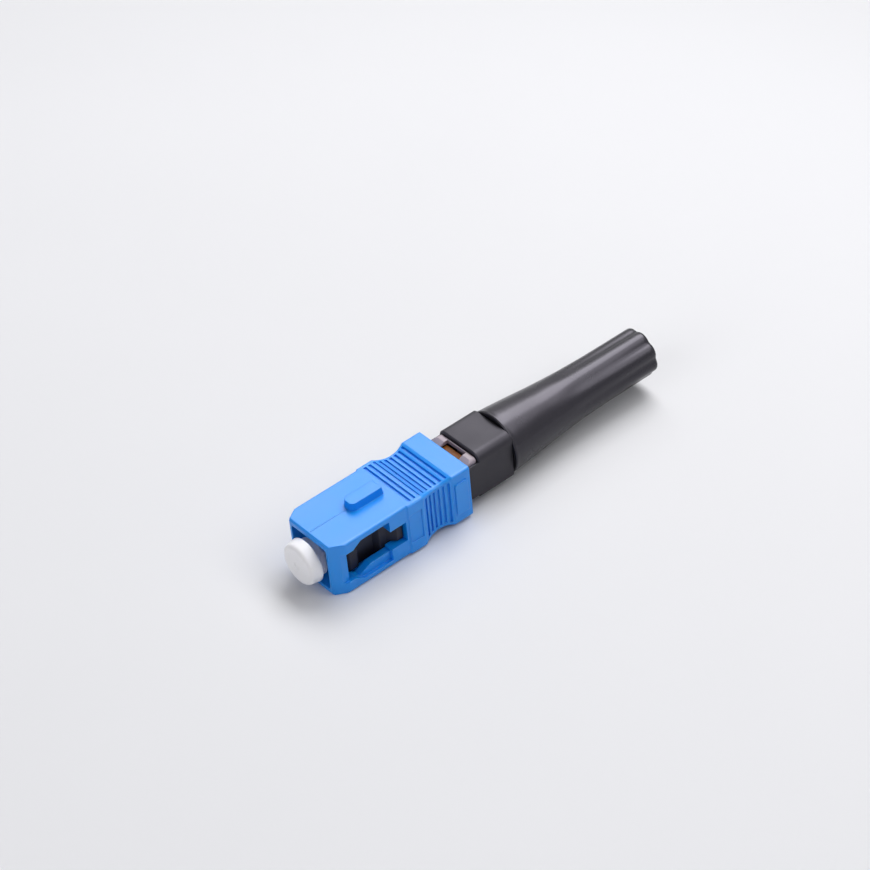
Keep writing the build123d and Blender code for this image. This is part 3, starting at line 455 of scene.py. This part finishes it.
class PLUG_OT_tail_cap(bpy.types.Operator):
    """Turn the screw cap and sink its flutes"""

    bl_idname = "plug.tail_cap"
    bl_label = "Screw cap"

    def execute(self, context):
        sizes = context.scene.plug_sizes
        front, rear = CAP_LOW.y / MM, CAP_HIGH.y / MM
        # The taper's radii by the distance behind the cap's front, and the ends of its smoothing
        waist = [(0.2, 4.2), (4.0, 3.9), (8.1, 3.52), (12.2, 3.3), (16.2, 3.2), (23.6, 3.2)]
        widest = waist[0][1]
        first, last = front + 0.2, rear - 0.4
        spread = (-1.2, -0.6, 0, 0.6, 1.2)

        def outer(y):
            offset = y - front
            for (y0, r0), (y1, r1) in zip(waist, waist[1:]):
                if offset <= y1:
                    return r0 + (r1 - r0) * (offset - y0) / (y1 - y0)
            return waist[-1][1]

        def skin(y):
            return sum(outer(min(last, max(first, y + off))) for off in spread) / len(spread)

        mouth = [(3.47, front), (4.08, front), (4.16, front + 0.06), (widest, front + 0.16)]
        taper_steps = 60
        taper_front = front + 0.3
        taper = []
        for step in range(taper_steps + 1):
            y = taper_front + (last - taper_front) * step / taper_steps
            taper.append((min(widest, skin(y)), y))
        inlet, inlet_front, collet_seat, stub_room, stub_end = 1.9, 38.6, 2.5, 3.32, 33.9
        rim = [(3.17, rear - 0.24), (3.1, rear - 0.12), (2.98, rear - 0.03), (2.85, rear),
               (2.25, rear), (inlet, rear - 0.35)]
        bore = [(inlet, inlet_front), (2.2, inlet_front), (collet_seat, 35.0), (collet_seat, 34.3),
                (stub_room, stub_end), (stub_room, front + 0.15), (3.47, front)]
        shape = lathe(mouth + taper + rim + bore, 192)

        # Each flute starts faintly, deepens to the rear and stays on the outer wall
        flute_front, flute_formed, second_front = 36.0, 40.5, 38.0
        wall_inside = 2.7 * MM
        spacing = math.tau / sizes.flute_count
        for corner in shape.verts:
            radius = math.hypot(corner.co.x, corner.co.z)
            y = corner.co.y / MM
            if y < flute_front or radius < wall_inside:
                continue
            angle = math.atan2(corner.co.x, corner.co.z) - sizes.flute_angle
            off = abs((angle + spacing / 2) % spacing - spacing / 2)
            sunk = sizes.flute_depth * (0.4 * ease(y, flute_front, flute_formed)
                                        + 0.6 * ease(y, second_front, rear + 3))
            depth = sunk * math.exp(-(off / sizes.flute_spread) ** 2)
            corner.co.x *= 1 - depth / radius
            corner.co.z *= 1 - depth / radius
        finish_piece(shape, "tail_cap_moulding", "tail",
                     black_nylon("satin_black_nylon", context.scene.plug_colours.black, 0.22, 0.29),
                     "tail_cap", smooth=50)
        return {"FINISHED"}


class PLUG_OT_rear_body(bpy.types.Operator):
    """Show the rear body and wind the thread on its stub"""

    bl_idname = "plug.rear_body"
    bl_label = "Rear body"

    def execute(self, context):
        sizes = context.scene.plug_sizes
        black = black_nylon("black_nylon", context.scene.plug_colours.black, 0.42, 0.52)
        finish_node("rear_body", black)
        # The thread starts just behind the block, and its root lies in the stub's wall
        root = 2.98 * MM
        crest = root + sizes.thread_height
        start = 28.5 * MM
        half_root, half_crest = 0.32 * MM, 0.08 * MM
        turns = 4
        steps = 64
        shape = bmesh.new()
        section = [(root, -half_root), (crest, -half_crest), (crest, half_crest), (root, half_root)]
        corners = [shape.verts.new((radius, start + y, 0)) for radius, y in section]
        face = shape.faces.new(corners)
        bmesh.ops.spin(
            shape, geom=[face], cent=(0, 0, 0), axis=FIBRE_AXIS,
            dvec=(0, sizes.thread_pitch / steps, 0), angle=turns * math.tau,
            steps=turns * steps, use_merge=False, use_duplicate=False)
        bmesh.ops.remove_doubles(shape, verts=shape.verts, dist=0.0005 * MM)
        bmesh.ops.recalc_face_normals(shape, faces=shape.faces)
        finish_piece(shape, "stub_thread", "housing", black)
        return {"FINISHED"}


class PLUG_OT_locking_slider(bpy.types.Operator):
    """Show the locking slider in its off-white finish"""

    bl_idname = "plug.locking_slider"
    bl_label = "Locking slider"

    def execute(self, context):
        finish_node("locking_slider",
                    natural_acetal("natural_acetal", context.scene.plug_colours.lock))
        return {"FINISHED"}


class PLUG_OT_spring(bpy.types.Operator):
    """Wind the ferrule spring at one length; in the plug it shortens as the ferrule floats back"""

    bl_idname = "plug.spring"
    bl_label = "Ferrule spring"

    def execute(self, context):
        sizes = context.scene.plug_sizes
        low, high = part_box("ferrule_spring")
        wire = sizes.spring_wire
        radius = high.x - wire
        span = high.y - low.y - 2 * wire
        turns = round(span / sizes.spring_pitch)
        closed = 2.1 * wire

        def rise(turn):
            """How far along the axis the wire has come; the end turns are closed."""
            if turn < 1:
                return turn * closed
            if turn > turns - 1:
                return span - (turns - turn) * closed
            return closed + (turn - 1) * (span - 2 * closed) / (turns - 2)

        steps, sides = 40, 12
        round_wire = [math.tau * side / sides for side in range(sides)]
        shape = bmesh.new()
        rings = []
        for step in range(turns * steps + 1):
            turn = step / steps
            out = Vector((math.sin(math.tau * turn), 0, math.cos(math.tau * turn)))
            centre = out * radius + FIBRE_AXIS * (low.y + wire + rise(turn))
            rings.append([
                shape.verts.new(centre + wire * (math.cos(way) * out + math.sin(way) * FIBRE_AXIS))
                for way in round_wire])
        for ring, after in zip(rings, rings[1:]):
            for side in range(sides):
                shape.faces.new((ring[side - 1], ring[side], after[side], after[side - 1]))
        for ring in (rings[0], rings[-1]):
            shape.faces.new(ring)
        bmesh.ops.recalc_face_normals(shape, faces=shape.faces)
        piece = finish_piece(
            shape, "ferrule_spring_coil", "housing",
            steel("drawn_spring_steel", 0.4, 0.4, 0.3), "ferrule_spring", smooth=50)
        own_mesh(piece)
        return {"FINISHED"}


class PLUG_OT_inner_pieces(bpy.types.Operator):
    """Finish the frame, ferrule, clamp, guide and collet"""

    bl_idname = "plug.inner_pieces"
    bl_label = "Inner pieces"

    def execute(self, context):
        colours = context.scene.plug_colours
        black = black_nylon("black_frame_nylon", colours.black, 0.4, 0.5)
        for node in ("plug_frame", "cable_collet"):
            finish_node(node, black)
        amber = amber_pei(colours.amber)
        for node in ("clamp_base", "clamp_cover_front", "clamp_cover_rear"):
            finish_node(node, amber)
        finish_node("ferrule", polished_zirconia())
        finish_node("fibre_stub", drawn_silica())
        finish_node("ferrule_flange", steel("turned_stainless", 0.12, 2.0, 0.24))
        finish_node("clamp_clip", steel("rolled_spring_steel", 0.4, 0.4, 0.34))
        finish_node("fibre_guide", natural_acetal("natural_acetal_guide", colours.lock))
        return {"FINISHED"}


class PLUG_OT_stage(bpy.types.Operator):
    """Lay the floor, hang the lamps and place the camera"""

    bl_idname = "plug.stage"
    bl_label = "Stage"

    def execute(self, context):
        scene = context.scene
        colours = scene.plug_colours
        middle = Vector((0, 25 * MM, 0))

        # The plug lies on the grip's front edge and the cap's rim, so the floor slopes with it
        underside = GRIP_LOW.z
        fall = math.atan2(underside - CAP_LOW.z, CAP_LOW.y)
        floor_reach = 1.5
        floor_gap = 0.005 * MM
        shape = bmesh.new()
        bmesh.ops.create_grid(shape, x_segments=1, y_segments=1, size=floor_reach)
        bmesh.ops.rotate(shape, verts=shape.verts, cent=(0, 0, 0),
                         matrix=Matrix.Rotation(-fall, 3, "X"))
        bmesh.ops.translate(shape, verts=shape.verts, vec=(0, 0, underside - floor_gap))
        mesh = bpy.data.meshes.new("floor")
        shape.to_mesh(mesh)
        shape.free()
        mesh.materials.append(pale_board(colours.floor))
        floor = bpy.data.objects.new("floor", mesh)
        scene.collection.objects.link(floor)

        world = bpy.data.worlds.new("studio")
        scene.world = world
        world.use_nodes = True
        tree = world.node_tree
        tree.nodes.clear()
        room = add(tree, "ShaderNodeBackground", {"Color": paint("#EEF0F6"), "Strength": 0.12})
        backdrop = add(tree, "ShaderNodeBackground", {
            "Color": paint(colours.floor), "Strength": 1.0})
        mix = add(tree, "ShaderNodeMixShader", {
            0: seen_rays(tree), 1: room.outputs["Background"], 2: backdrop.outputs["Background"]})
        add(tree, "ShaderNodeOutputWorld", {"Surface": mix.outputs["Shader"]})

        # A key softbox behind the plug, a wide one that carries its sheen round the curves, and
        # a weak one before the plug: width and depth in metres, watts, and the way to it
        lamp_distance = 0.55
        for name, width, depth, power, way in (
            ("key_softbox", 0.34, 0.3, 1.35, Vector((-0.2, 0.5, 0.843))),
            ("wide_softbox", 1.5, 0.28, 3.7, Vector((0.0, 0.515, 0.857))),
            ("fill_softbox", 0.4, 0.4, 0.75, Vector((0.1, -0.85, 0.5))),
        ):
            lamp = bpy.data.lights.new(name, "AREA")
            lamp.shape = "RECTANGLE"
            lamp.size = width
            lamp.size_y = depth
            lamp.energy = power
            holder = bpy.data.objects.new(name, lamp)
            scene.collection.objects.link(holder)
            back = way.normalized()
            level = FIBRE_AXIS.cross(back).normalized()
            turn = Matrix((level, back.cross(level), back)).transposed().to_4x4()
            holder.matrix_world = Matrix.Translation(middle + back * lamp_distance) @ turn

        # The photograph's view, found from the plug's straight edges
        elevation, roll, azimuth = math.radians(40.566), math.radians(-5.765), math.radians(53.200)
        shift_right, shift_up, distance = 14.1067 * MM, 13.9175 * MM, 319.7566 * MM
        back = Vector((math.sin(azimuth) * math.cos(elevation),
                       -math.cos(azimuth) * math.cos(elevation), math.sin(elevation)))
        level = Vector((math.cos(azimuth), math.sin(azimuth), 0))
        upright = back.cross(level)
        right = level * math.cos(roll) + upright * math.sin(roll)
        up = upright * math.cos(roll) - level * math.sin(roll)
        place = right * shift_right + up * shift_up + back * distance
        turn = Matrix((right, up, back)).transposed().to_4x4()
        lens = bpy.data.cameras.new("camera")
        lens.sensor_width = 36.0
        lens.lens = 116.297
        lens.clip_start = 0.01
        lens.clip_end = 10.0
        camera = bpy.data.objects.new("camera", lens)
        scene.collection.objects.link(camera)
        camera.matrix_world = Matrix.Translation(place) @ turn
        scene.camera = camera
        scene.view_settings.view_transform = "Standard"
        return {"FINISHED"}


STEPS = (PLUG_OT_stage, PLUG_OT_grip, PLUG_OT_dust_cap, PLUG_OT_tail_cap, PLUG_OT_rear_body,
         PLUG_OT_locking_slider, PLUG_OT_spring, PLUG_OT_inner_pieces)


class PLUG_PT_panel(bpy.types.Panel):
    """Sidebar panel that lists the plug's pieces"""

    bl_idname = "PLUG_PT_panel"
    bl_label = "Fibre plug"
    bl_space_type = "VIEW_3D"
    bl_region_type = "UI"
    bl_category = "Fibre plug"

    def draw(self, context):
        layout = self.layout
        for group in (context.scene.plug_sizes, context.scene.plug_colours):
            box = layout.box()
            for name in group.bl_rna.properties.keys():
                if name not in ("rna_type", "name"):
                    box.prop(group, name)
        for step in STEPS:
            layout.operator(step.bl_idname)


CLASSES = (PlugSizes, PlugColours, *STEPS, PLUG_PT_panel)


def register():
    for item in CLASSES:
        bpy.utils.register_class(item)
    bpy.types.Scene.plug_sizes = PointerProperty(type=PlugSizes)
    bpy.types.Scene.plug_colours = PointerProperty(type=PlugColours)


def unregister():
    del bpy.types.Scene.plug_colours
    del bpy.types.Scene.plug_sizes
    for item in reversed(CLASSES):
        bpy.utils.unregister_class(item)


def main():
    """Build every piece in order."""
    register()
    for step in STEPS:
        group, name = step.bl_idname.split(".")
        getattr(getattr(bpy.ops, group), name)()


if __name__ == "__main__":
    main()
